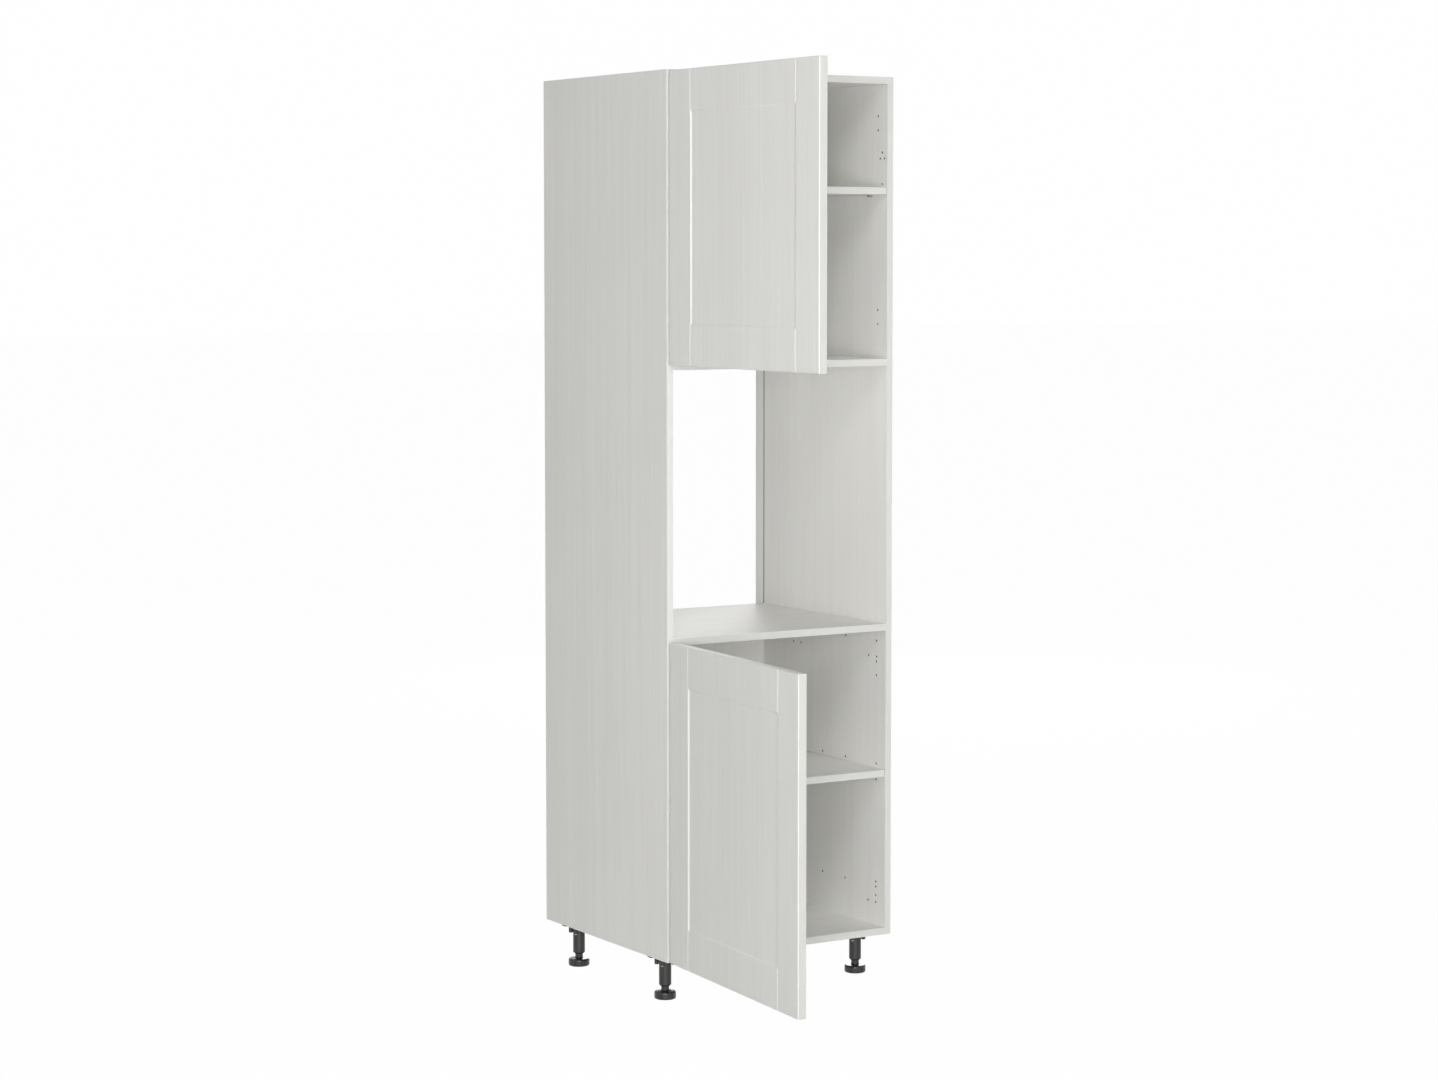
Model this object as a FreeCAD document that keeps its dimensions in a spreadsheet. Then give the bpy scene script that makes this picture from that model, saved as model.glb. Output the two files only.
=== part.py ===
import FreeCAD, Part
import Sketcher
import math
import os
import re

# Tall housing cabinet for a built-in appliance: a melamine carcass with an open
# niche between two closed compartments, two framed doors hung on the left side by
# cup hinges, and four screw-adjusted plastic legs.
# Millimetres. X runs along the front to the right, Y into the depth and Z up. Pieces
# are first set out from the middle of the carcass front, on the floor.

# Driving dimensions
SIZES = {
    # carcass
    "cabinet_width": 600,
    "carcass_depth": 560,
    "carcass_height": 1970,
    "board_thickness": 16,
    "band_thickness": 1,
    "lower_section_height": 690,
    "niche_height": 592,
    "lower_shelf_share": 0.509,
    "upper_shelf_share": 0.650226,
    "shelf_setback": 2,
    "shelf_side_gap": 1,
    "shelf_back_gap": 6,
    # back panels
    "groove_setback": 35,
    "groove_depth": 8,
    "back_thickness": 3,
    "groove_gap": 0.3,
    "back_end_gap": 0.5,
    # holes drilled in the side panels
    "hole_diameter": 5,
    "pilot_depth": 12,
    "system_setback": 37,
    "hole_pitch": 32,
    "plinth_rail_level": 69,
    "lower_runner_level": 105,
    "spare_shelf_level": 356,
    "upper_runner_level": 393,
    "bracket_level": 642,
    "brace_level": 679,
    "flap_top_distance": 170,
    "flap_setback": 20,
    "flap_side_step": 8.7,
    "flap_drop": 13.8,
    "flap_stay_drop": 71.5,
    # cam fittings and dowels
    "cam_setback": 50,
    "cam_rear_setback": 76,
    "dowel_step": 64,
    "cam_edge_distance": 24,
    "cam_diameter": 15,
    "cam_depth": 12.5,
    "cam_gap": 0.1,
    "cam_slot_length": 9,
    "cam_slot_width": 1.4,
    "cam_slot_depth": 2,
    "cam_mouth_diameter": 7.4,
    "cam_mouth_reach": 4,
    "bolt_thread_diameter": 4.8,
    "bolt_thread_length": 11,
    "bolt_shaft_diameter": 5.6,
    "bolt_neck_diameter": 3.6,
    "bolt_neck_length": 3,
    "bolt_head_diameter": 6.4,
    "bolt_head_length": 2.5,
    "bolt_hole_diameter": 8,
    "dowel_diameter": 8,
    "dowel_length": 30,
    "dowel_embed": 11.5,
    "dowel_gap": 0.05,
    "dowel_end_gap": 0.5,
    # shelf supports
    "support_setback": 64,
    "support_tongue_length": 9,
    "support_tongue_width": 8,
    "support_height": 5,
    "support_pin_gap": 0.05,
    "support_pin_length": 8,
    # doors
    "door_thickness": 19,
    "door_gap": 2,
    "door_side_gap": 2,
    "door_top_gap": 3,
    "door_bottom_gap": 1,
    "niche_top_cover": 5,
    "niche_floor_cover": 8.5,
    "frame_width": 89,
    "recess_depth": 2.2,
    "bevel_width": 4.5,
    "joint_groove_width": 3,
    "joint_groove_depth": 1,
    "door_edge_radius": 2,
    "bumper_diameter": 9,
    "bumper_thickness": 1.6,
    "bumper_inset": 13,
    "upper_open_angle": 90,
    "lower_open_angle": 94.6,
    # hinge cups
    "hinge_inset": 100,
    "cup_diameter": 35,
    "cup_edge_distance": 2.5,
    "cup_bore_depth": 13.4,
    "cup_gap": 0.1,
    "cup_wall": 0.7,
    "cup_flange_thickness": 1,
    "cup_flange_margin": 1.5,
    "cup_ear_length": 62,
    "cup_ear_width": 13,
    "cup_screw_spacing": 48,
    "cup_screw_offset": 6,
    "cup_lug_radius": 2.4,
    "cup_lug_gap": 0.3,
    "cup_lug_length": 3.2,
    "cup_pin_inset": 6.8,
    "cup_pin_depth": 6,
    "cup_pin_diameter": 2.6,
    "cup_pin_length": 15,
    "cup_screw_diameter": 3.4,
    "cup_screw_length": 12,
    "screw_gap": 0.1,
    "cross_length_share": 0.56,
    "cross_width_share": 0.15,
    "cross_depth_share": 0.8,
    "cup_screw_head_diameter": 6.5,
    "cup_screw_head_height": 1.4,
    # hinge arms, links and mounting plates
    "pin_clearance": 0.05,
    "arm_pivot_offset": 18,
    "arm_pivot_setback": 3,
    "arm_pin_diameter": 4,
    "arm_width": 12,
    "arm_thickness": 3,
    "arm_eye_radius": 3.5,
    "arm_bend_setback": 17,
    "arm_length": 66,
    "arm_fork_depth": 7.5,
    "link_width": 8,
    "link_side_gap": 0.1,
    "link_eye_radius": 3.3,
    "link_bar_radius": 2,
    "link_tip_radius": 1.6,
    "link_tip_eye_radius": 2.3,
    "link_elbow_run": 7.6,
    "link_elbow_drop": 3.1,
    "link_turn_angle": 20,
    "plate_thickness": 2.2,
    "plate_wing_length": 50,
    "plate_wing_width": 18,
    "plate_block_height": 9,
    "plate_block_width": 13,
    "plate_block_front": 15,
    "plate_screw_head_diameter": 8.6,
    "plate_screw_head_height": 2,
    "plate_screw_diameter": 4.8,
    "plate_screw_length": 11,
    "arm_screw_setback": 54,
    "arm_screw_diameter": 4,
    "arm_screw_depth": 6,
    "arm_screw_head_diameter": 7.6,
    "arm_screw_head_height": 2.4,
    # legs
    "leg_height": 100,
    "leg_side_inset": 43,
    "leg_front_inset": 82,
    "leg_rear_inset": 80,
    "leg_plate_thickness": 3,
    "leg_collar_radius": 19.5,
    "leg_tail_reach": 41,
    "leg_tail_width": 16,
    "leg_tube_diameter": 27.7,
    "leg_tube_base": 29,
    "leg_tube_chamfer": 3,
    "leg_bore_roof": 10,
    "leg_peg_side": 15,
    "leg_peg_back": 12,
    "leg_peg_diameter": 10,
    "leg_peg_drop": 22,
    "leg_peg_rise": 12,
    "leg_peg_gap": 0.1,
    "leg_pin_diameter": 3.8,
    "leg_pin_length": 32,
    "leg_pin_head_diameter": 7,
    "leg_pin_head_height": 1.5,
    "foot_diameter": 49,
    "foot_height": 17,
    "foot_top_round": 4.5,
    "foot_base_round": 3.5,
    "foot_crown_height": 18.5,
    "foot_crown_diameter": 22,
    "foot_neck_height": 20,
    "foot_grip_diameter": 3.6,
    "foot_grip_height": 13,
    "foot_turn_angle": 38,
    "stem_diameter": 18,
    "stem_clearance": 0.08,
    "stem_top_gap": 10,
}

# Places worked out from the driving dimensions; levels are heights above the floor
PLACES = {
    "inner_half": "cabinet_width / 2 - board_thickness",
    "groove_width": "back_thickness + 2 * groove_gap",
    "panel_depth": "carcass_depth - groove_setback - groove_width",
    "bottom_face": "leg_height + board_thickness",
    "lower_shelf_level": "bottom_face + lower_section_height * lower_shelf_share",
    "niche_floor_level": "bottom_face + lower_section_height",
    "niche_floor_face": "niche_floor_level + board_thickness",
    "niche_top_level": "niche_floor_face + niche_height",
    "niche_top_face": "niche_top_level + board_thickness",
    "carcass_top": "leg_height + carcass_height",
    "top_level": "carcass_top - board_thickness",
    "flap_level": "carcass_height - flap_top_distance",
    "shelf_half": "inner_half - shelf_side_gap",
    "shelf_end": "panel_depth - shelf_back_gap",
    "shelf_support_rear": "shelf_end - support_setback",
    "support_axis_drop": "support_height / 2",
    "cam_rear": "panel_depth - cam_rear_setback",
    "dowel_front": "cam_setback + dowel_step",
    "dowel_rear": "cam_rear - dowel_step",
    "half_board": "board_thickness / 2",
    "cam_line": "inner_half - cam_edge_distance",
    "bolt_reach": "cam_edge_distance + bolt_head_length / 2",
    "door_half": "cabinet_width / 2 - door_side_gap",
    "upper_door_base": "niche_top_face - niche_top_cover",
    "upper_door_height": "carcass_top - door_top_gap - upper_door_base",
    "upper_hinge_span": "upper_door_height - 2 * hinge_inset",
    "upper_shelf_middle": "upper_door_base + hinge_inset + upper_hinge_span * upper_shelf_share",
    "upper_shelf_level": "upper_shelf_middle - half_board",
    "lower_door_base": "leg_height + door_bottom_gap",
    "lower_door_height": "niche_floor_level + niche_floor_cover - lower_door_base",
    "cup_inset": "cup_edge_distance + cup_diameter / 2",
    "cup_floor": "cup_bore_depth - cup_gap",
    "cup_pin_x": "cup_pin_inset - cup_inset",
    "cup_lug_base": "link_width / 2 + cup_lug_gap",
    "cup_inner_radius": "cup_diameter / 2 - cup_gap - cup_wall",
    "pin_x": "door_side_gap + cup_pin_inset - board_thickness",
    "pin_y": "-door_gap - cup_pin_depth",
    "elbow_x": "pin_x + link_elbow_run",
    "elbow_y": "pin_y - link_elbow_drop",
    "arm_top": "plate_block_height + arm_thickness",
    "arm_fork_half": "link_width / 2 + link_side_gap",
    "leg_left": "leg_side_inset - cabinet_width / 2",
    "leg_back": "carcass_depth - leg_rear_inset",
    "leg_bore_top": "leg_height - leg_bore_roof",
    "stem_top": "leg_bore_top - stem_top_gap",
}

# Drilling in steps of the hole pitch, counted from the row nearest the front
RUNNER_STEPS = (0, 4, 7)
BRACKET_STEPS = (0, 1, 10, 11)
BRACE_STEPS = (0, 4)
RAIL_STEPS = (0, 1)
FOOT_GRIPS = 6

doc = FreeCAD.newDocument("housing_cabinet")
nodes = []


def fill_sheet(name, cells):
    sheet = doc.addObject("Spreadsheet::Sheet", name)
    for row, (alias, content) in enumerate(cells.items(), start=1):
        sheet.set(f"A{row}", alias)
        sheet.set(f"B{row}", str(content))
        sheet.setAlias(f"B{row}", alias)
    return sheet


def formula(text):
    # writes each named size or place of a sum as its sheet cell
    def cell(match):
        word = match.group(0)
        if word in SIZES:
            return "Sizes." + word
        if word in PLACES:
            return "Places." + word
        return word
    return re.sub(r"[a-z_]+", cell, text)


sizes = fill_sheet("Sizes", SIZES)
places = fill_sheet("Places", {})
for row, (alias, text) in enumerate(PLACES.items(), start=1):
    places.set(f"A{row}", alias)
    places.set(f"B{row}", "=" + re.sub(r"Places\.", "", formula(text)))
    places.setAlias(f"B{row}", alias)
doc.recompute()


def value(alias):
    sheet = sizes if alias in SIZES else places
    return float(sheet.get(alias))


# Sketches and features

def new_body(label):
    body = doc.addObject("PartDesign::Body", label)
    body.Label = label
    return body


def plane_of(body, role):
    return [item for item in body.Origin.OriginFeatures if item.Role == role][0]


def new_sketch(body, role, offset=None):
    sketch = body.newObject("Sketcher::SketchObject", body.Label + "_sketch")
    sketch.AttachmentSupport = [(plane_of(body, role), "")]
    sketch.MapMode = "FlatFace"
    if offset:
        sketch.setExpression("AttachmentOffset.Base.z", formula(offset))
    return sketch


def bind_constraint(sketch, constraint, text):
    index = sketch.addConstraint(constraint)
    sketch.setExpression(f"Constraints[{index}]", formula(text))


def bind_point(sketch, item, end, start, place):
    for kind, text, guess in (("DistanceX", place[0], start.x), ("DistanceY", place[1], start.y)):
        bind_constraint(sketch, Sketcher.Constraint(kind, -1, 1, item, end, guess), text)


def draw_outline(sketch, corners):
    # a closed outline whose corners are each held at (x, y) by the sheet
    count = len(corners)
    first = sketch.GeometryCount
    starts = []
    for index in range(count):
        turn = 2 * math.pi * index / count
        starts.append(FreeCAD.Vector(math.cos(turn), math.sin(turn), 0))
    for index in range(count):
        sketch.addGeometry(Part.LineSegment(starts[index], starts[(index + 1) % count]))
    for index in range(count):
        following = first + (index + 1) % count
        sketch.addConstraint(Sketcher.Constraint("Coincident", first + index, 2, following, 1))
    for index, corner in enumerate(corners):
        bind_point(sketch, first + index, 1, starts[index], corner)


def draw_box(sketch, low, high):
    draw_outline(sketch, [low, (high[0], low[1]), high, (low[0], high[1])])


def draw_cross(sketch, reach, half):
    # a plus sign about the middle, as twelve corners
    draw_outline(sketch, [
        (reach, f"-{half}"), (reach, half), (half, half),
        (half, reach), (f"-{half}", reach), (f"-{half}", half),
        (f"-{reach}", half), (f"-{reach}", f"-{half}"), (f"-{half}", f"-{half}"),
        (f"-{half}", f"-{reach}"), (half, f"-{reach}"), (half, f"-{half}"),
    ])


def draw_circle(sketch, centre, diameter):
    start = FreeCAD.Vector(1, 1, 0)
    item = sketch.addGeometry(Part.Circle(start, FreeCAD.Vector(0, 0, 1), 1))
    bind_point(sketch, item, 3, start, centre)
    bind_constraint(sketch, Sketcher.Constraint("Diameter", item, 2), diameter)


def draw_slot(sketch, start, end, radius):
    # a bar with round ends between two named places
    first = FreeCAD.Vector(value(start[0]), value(start[1]), 0)
    second = FreeCAD.Vector(value(end[0]), value(end[1]), 0)
    run = second - first
    side = FreeCAD.Vector(-run.y, run.x, 0).normalize() * value(radius)
    up = FreeCAD.Vector(0, 0, 1)
    heading = math.atan2(run.y, run.x)
    quarter = math.pi / 2
    arcs = []
    for centre, opening in ((first, heading + quarter), (second, heading - quarter)):
        circle = Part.Circle(centre, up, value(radius))
        arcs.append(sketch.addGeometry(Part.ArcOfCircle(circle, opening, opening + math.pi)))
    upper = sketch.addGeometry(Part.LineSegment(second + side, first + side))
    lower = sketch.addGeometry(Part.LineSegment(first - side, second - side))
    sketch.addConstraint([
        Sketcher.Constraint("Tangent", upper, 2, arcs[0], 1),
        Sketcher.Constraint("Tangent", arcs[0], 2, lower, 1),
        Sketcher.Constraint("Tangent", lower, 2, arcs[1], 1),
        Sketcher.Constraint("Tangent", arcs[1], 2, upper, 1),
    ])
    bind_point(sketch, arcs[0], 3, first, start)
    bind_point(sketch, arcs[1], 3, second, end)
    bind_constraint(sketch, Sketcher.Constraint("Radius", arcs[0], value(radius)), radius)


def add_pad(body, sketch, length, both_ways=False, backwards=False):
    pad = body.newObject("PartDesign::Pad", body.Label + "_pad")
    pad.Profile = sketch
    pad.Midplane = both_ways
    pad.Reversed = backwards
    pad.setExpression("Length", formula(length))
    return pad


def add_pocket(body, sketch, length, both_ways=False, backwards=False):
    doc.recompute()
    before = body.Shape.Volume
    pocket = body.newObject("PartDesign::Pocket", body.Label + "_pocket")
    pocket.Profile = sketch
    pocket.Midplane = both_ways
    pocket.Reversed = backwards
    pocket.setExpression("Length", formula(length))
    doc.recompute()
    if body.Shape.Volume >= before:
        raise ValueError("a pocket cuts nothing in " + body.Label)
    return pocket


def add_revolution(body, sketch):
    turn = body.newObject("PartDesign::Revolution", body.Label + "_turn")
    turn.Profile = sketch
    turn.ReferenceAxis = (sketch, ["V_Axis"])
    turn.Angle = 360
    return turn


def turned_body(label, corners):
    # a round piece about its own Z axis; corners are (radius, height)
    body = new_body(label)
    sketch = new_sketch(body, "XZ_Plane")
    draw_outline(sketch, corners)
    add_revolution(body, sketch)
    return body


def keep(body, base=None, turn=None):
    # files the finished piece under its label, at its place
    if base is not None:
        body.Placement = FreeCAD.Placement(base, turn or FreeCAD.Rotation())
    nodes.append(body)
    return body


def keep_group(label, master, placements):
    # equal pieces at several places, as separate solids of one node
    links = []
    for placement in placements:
        link = doc.addObject("App::Link", label + "_copy")
        link.LinkedObject = master
        link.Placement = placement
        links.append(link)
    group = doc.addObject("Part::Compound", label)
    group.Label = label
    group.Links = links
    nodes.append(group)
    return group


def at(x, y, z, turn=None):
    return FreeCAD.Placement(FreeCAD.Vector(x, y, z), turn or FreeCAD.Rotation())


X_AXIS = FreeCAD.Vector(1, 0, 0)
Y_AXIS = FreeCAD.Vector(0, 1, 0)
Z_AXIS = FreeCAD.Vector(0, 0, 1)
TO_RIGHT = FreeCAD.Rotation(Z_AXIS, X_AXIS)
TO_LEFT = FreeCAD.Rotation(Z_AXIS, -X_AXIS)
TO_FRONT = FreeCAD.Rotation(Z_AXIS, -Y_AXIS)
TO_BACK = FreeCAD.Rotation(Z_AXIS, Y_AXIS)
UPRIGHT = FreeCAD.Rotation()

FIXED_LEVELS = ("leg_height", "niche_floor_level", "niche_top_level", "top_level")
HINGE_LEVELS = {
    "lower_door_bottom": "lower_door_base + hinge_inset",
    "lower_door_top": "lower_door_base + lower_door_height - hinge_inset",
    "upper_door_bottom": "upper_door_base + hinge_inset",
    "upper_door_top": "upper_door_base + upper_door_height - hinge_inset",
}


# Side panels

def side_drilling(face_of):
    # every 5 mm hole of a side panel as (depth place, height above the panel's foot)
    holes = []
    for level in FIXED_LEVELS:
        height = f"{level} - leg_height + half_board"
        holes += [("cam_setback", height), ("cam_rear", height)]
    for level in HINGE_LEVELS.values():
        for sign in ("-", "+"):
            holes.append(("system_setback", f"{level} - leg_height {sign} hole_pitch / 2"))
    for shelf in ("lower_shelf_level", "upper_shelf_level"):
        height = f"{shelf} - leg_height - support_axis_drop"
        for depth in ("support_setback", "shelf_support_rear"):
            holes.append((depth, height))
    rows = (
        ("plinth_rail_level", RAIL_STEPS),
        ("lower_runner_level", RUNNER_STEPS),
        ("upper_runner_level", RUNNER_STEPS),
        ("spare_shelf_level", (0,)),
        ("bracket_level", BRACKET_STEPS),
        ("brace_level", BRACE_STEPS),
    )
    for height, steps in rows:
        for step in steps:
            holes.append((f"system_setback + {step} * hole_pitch", height))
    holes.append(("flap_setback", "flap_level"))
    holes.append(("flap_setback + flap_side_step", "flap_level - flap_drop"))
    holes.append(("flap_setback - flap_side_step", "flap_level - flap_drop"))
    holes.append(("flap_setback", "flap_level - flap_stay_drop"))
    return [(face_of(depth), height) for depth, height in holes]


def side_panel(label, inner_offset, base_x):
    body = new_body(label)
    board = new_sketch(body, "YZ_Plane")
    draw_box(board, ("band_thickness", "0"), ("carcass_depth", "carcass_height"))
    add_pad(body, board, "board_thickness")
    inward = inner_offset is None
    groove = new_sketch(body, "YZ_Plane", inner_offset)
    draw_box(groove, ("panel_depth", "0"), ("panel_depth + groove_width", "carcass_height"))
    add_pocket(body, groove, "groove_depth", backwards=inward)
    drilled = new_sketch(body, "YZ_Plane", inner_offset)
    for place in side_drilling(lambda depth: depth):
        draw_circle(drilled, place, "hole_diameter")
    add_pocket(body, drilled, "pilot_depth", backwards=inward)
    dowelled = new_sketch(body, "YZ_Plane", inner_offset)
    for level in FIXED_LEVELS:
        for depth in ("dowel_front", "dowel_rear"):
            draw_circle(dowelled, (depth, f"{level} - leg_height + half_board"), "dowel_diameter")
    add_pocket(body, dowelled, "pilot_depth", backwards=inward)
    keep(body, FreeCAD.Vector(base_x, 0, value("leg_height")))


side_panel("left_side_panel", "board_thickness", -value("cabinet_width") / 2)
side_panel("right_side_panel", None, value("inner_half"))


# Fixed horizontal panels

def peg_spots():
    # the four pegs of a leg, as steps from its middle
    return [(across, along) for across in ("- leg_peg_side", "+ leg_peg_side")
            for along in ("- leg_peg_back", "+ leg_peg_back")]


def fixed_panel(label, level, housings_on_top=False, legs_below=False):
    body = new_body(label)
    board = new_sketch(body, "XY_Plane")
    draw_box(board, ("-inner_half", "band_thickness"), ("inner_half", "panel_depth"))
    add_pad(body, board, "board_thickness")
    for end, backwards in (("inner_half", False), ("-inner_half", True)):
        bolted = new_sketch(body, "YZ_Plane", end)
        for depth in ("cam_setback", "cam_rear"):
            draw_circle(bolted, (depth, "half_board"), "bolt_hole_diameter")
        add_pocket(body, bolted, "cam_edge_distance", backwards=backwards)
        dowelled = new_sketch(body, "YZ_Plane", end)
        for depth in ("dowel_front", "dowel_rear"):
            draw_circle(dowelled, (depth, "half_board"), "dowel_diameter")
        add_pocket(body, dowelled, "dowel_length - dowel_embed + dowel_end_gap", backwards=backwards)
    housings = new_sketch(body, "XY_Plane", "board_thickness" if housings_on_top else None)
    for side in ("-cam_line", "cam_line"):
        for depth in ("cam_setback", "cam_rear"):
            draw_circle(housings, (side, depth), "cam_diameter")
    add_pocket(body, housings, "cam_depth", backwards=not housings_on_top)
    if legs_below:
        pegs = new_sketch(body, "XY_Plane")
        for side in ("leg_left", "-leg_left"):
            for depth in ("leg_front_inset", "leg_back"):
                for across, along in peg_spots():
                    spot = (f"{side} {across}", f"{depth} {along}")
                    draw_circle(pegs, spot, "leg_peg_diameter + 2 * leg_peg_gap")
        add_pocket(body, pegs, "leg_peg_rise + leg_peg_gap", backwards=True)
    keep(body, FreeCAD.Vector(0, 0, value(level)))


fixed_panel("bottom_panel", "leg_height", legs_below=True)
fixed_panel("niche_floor_panel", "niche_floor_level")
fixed_panel("niche_top_panel", "niche_top_level")
fixed_panel("top_panel", "top_level", housings_on_top=True)


# Shelves and their supports

def shelf(label, level):
    body = new_body(label)
    board = new_sketch(body, "XY_Plane")
    draw_box(board, ("-shelf_half", "shelf_setback + band_thickness"), ("shelf_half", "shelf_end"))
    add_pad(body, board, "board_thickness")
    keep(body, FreeCAD.Vector(0, 0, value(level)))


shelf("lower_shelf", "lower_shelf_level")
shelf("upper_shelf", "upper_shelf_level")

support = new_body("support_master")
tongue = new_sketch(support, "YZ_Plane")
draw_box(tongue, ("-support_tongue_width / 2", "-support_height / 2"), ("support_tongue_width / 2", "support_height / 2"))
add_pad(support, tongue, "support_tongue_length")
pin = new_sketch(support, "YZ_Plane")
draw_circle(pin, ("0", "0"), "hole_diameter - 2 * support_pin_gap")
add_pad(support, pin, "support_pin_length", backwards=True)

HALF_TURN = FreeCAD.Rotation(Z_AXIS, 180)
for shelf_name in ("lower_shelf", "upper_shelf"):
    height = value(shelf_name + "_level") - value("support_axis_drop")
    spots = []
    for depth in (value("support_setback"), value("shelf_support_rear")):
        spots.append(at(-value("inner_half"), depth, height))
        spots.append(at(value("inner_half"), depth, height, HALF_TURN))
    keep_group(shelf_name + "_supports", support, spots)


# Back panels, held in the grooves and covering the ends of the fixed panels

def back_panel(label, low, high):
    body = new_body(label)
    board = new_sketch(body, "XZ_Plane")
    reach = "inner_half + groove_depth - back_end_gap"
    draw_box(board, (f"-({reach})", f"{low} + back_end_gap"), (reach, f"{high} - back_end_gap"))
    add_pad(body, board, "back_thickness")
    rear = value("panel_depth") + value("groove_gap") + value("back_thickness")
    keep(body, FreeCAD.Vector(0, rear, 0))


back_panel("lower_back_panel", "leg_height", "niche_floor_face")
back_panel("upper_back_panel", "niche_top_level", "carcass_top")


# Edge bands: glued strips that cover the front edges of the boards

def upright_band(label):
    body = new_body(label)
    strip = new_sketch(body, "XY_Plane")
    draw_box(strip, ("0", "0"), ("board_thickness", "band_thickness"))
    add_pad(body, strip, "carcass_height")
    return body


def level_band(label, half):
    body = new_body(label)
    strip = new_sketch(body, "XY_Plane")
    draw_box(strip, (f"-{half}", "0"), (half, "band_thickness"))
    add_pad(body, strip, "board_thickness")
    return body


side_band = upright_band("side_band_master")
foot_height = value("leg_height")
keep_group("side_edge_bands", side_band, [
    at(-value("cabinet_width") / 2, 0, foot_height),
    at(value("inner_half"), 0, foot_height),
])
panel_band = level_band("panel_band_master", "inner_half")
keep_group("panel_edge_bands", panel_band, [at(0, 0, value(level)) for level in FIXED_LEVELS])
shelf_band = level_band("shelf_band_master", "shelf_half")
keep_group("shelf_edge_bands", shelf_band, [
    at(0, value("shelf_setback"), value("lower_shelf_level")),
    at(0, value("shelf_setback"), value("upper_shelf_level")),
])


# Cam fittings and dowels that pull the fixed panels to the sides

bolt = turned_body("bolt_master", [
    ("0", "-bolt_thread_length"),
    ("bolt_thread_diameter / 2", "-bolt_thread_length"),
    ("bolt_thread_diameter / 2", "0"),
    ("bolt_shaft_diameter / 2", "0"),
    ("bolt_shaft_diameter / 2", "bolt_reach - bolt_head_length - bolt_neck_length"),
    ("bolt_neck_diameter / 2", "bolt_reach - bolt_head_length - bolt_neck_length"),
    ("bolt_neck_diameter / 2", "bolt_reach - bolt_head_length"),
    ("bolt_head_diameter / 2", "bolt_reach - bolt_head_length"),
    ("bolt_head_diameter / 2", "bolt_reach"),
    ("0", "bolt_reach"),
])

cam = new_body("cam_master")
drum = new_sketch(cam, "XY_Plane")
draw_circle(drum, ("0", "0"), "cam_diameter - 2 * cam_gap")
add_pad(cam, drum, "cam_depth - cam_gap")
mouth = new_sketch(cam, "YZ_Plane", "-cam_mouth_reach")
draw_circle(mouth, ("0", "half_board"), "cam_mouth_diameter")
add_pocket(cam, mouth, "cam_diameter", backwards=True)
driver = new_sketch(cam, "XY_Plane")
draw_box(driver, ("-cam_slot_length / 2", "-cam_slot_width / 2"), ("cam_slot_length / 2", "cam_slot_width / 2"))
add_pocket(cam, driver, "cam_slot_depth", backwards=True)

dowel = turned_body("dowel_master", [
    ("0", "-dowel_embed"),
    ("dowel_diameter / 2 - dowel_gap", "-dowel_embed"),
    ("dowel_diameter / 2 - dowel_gap", "dowel_length - dowel_embed"),
    ("0", "dowel_length - dowel_embed"),
])

bolts = []
cams = []
dowels = []
for level in FIXED_LEVELS:
    height = value(level) + value("half_board")
    upside_down = level == "top_level"
    for side, inward in ((-1, TO_RIGHT), (1, TO_LEFT)):
        for depth in ("cam_setback", "cam_rear"):
            bolts.append(at(side * value("inner_half"), value(depth), height, inward))
            face = value(level) + (value("board_thickness") if upside_down else 0)
            spin = FreeCAD.Rotation(Z_AXIS, 0 if side > 0 else 180)
            if upside_down:
                spin = spin.multiply(FreeCAD.Rotation(X_AXIS, 180))
            cams.append(at(side * value("cam_line"), value(depth), face, spin))
        for depth in ("dowel_front", "dowel_rear"):
            dowels.append(at(side * value("inner_half"), value(depth), height, inward))
keep_group("cam_bolts", bolt, bolts)
keep_group("cam_locks", cam, cams)
keep_group("dowels", dowel, dowels)


# Doors. A closed door is turned about its links to its open place.

def spun(angle, x, y):
    turn = math.radians(angle)
    return (
        x * math.cos(turn) - y * math.sin(turn),
        x * math.sin(turn) + y * math.cos(turn),
    )


def link_motion(open_angle):
    # the link turns about the arm's pin, against the door, in step with its angle
    turn = value("link_turn_angle") * open_angle / 90
    pivot = FreeCAD.Vector(-value("inner_half") + value("arm_pivot_offset"), value("arm_pivot_setback"), 0)
    return FreeCAD.Placement(FreeCAD.Vector(), FreeCAD.Rotation(Z_AXIS, turn), pivot)


def door_motion(open_angle):
    # the door turns about the cup's pin, which the link carries
    pin_place = FreeCAD.Vector(-value("inner_half") + value("pin_x"), value("pin_y"), 0)
    carried = link_motion(open_angle).multVec(pin_place)
    return FreeCAD.Placement(carried - pin_place, FreeCAD.Rotation(Z_AXIS, -open_angle), pin_place)


def front_edges(feature, depth):
    names = []
    for index, edge in enumerate(feature.Shape.Edges, start=1):
        if all(abs(vertex.Y + depth) < Part.Precision.confusion() for vertex in edge.Vertexes):
            names.append(f"Edge{index}")
    return names


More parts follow.
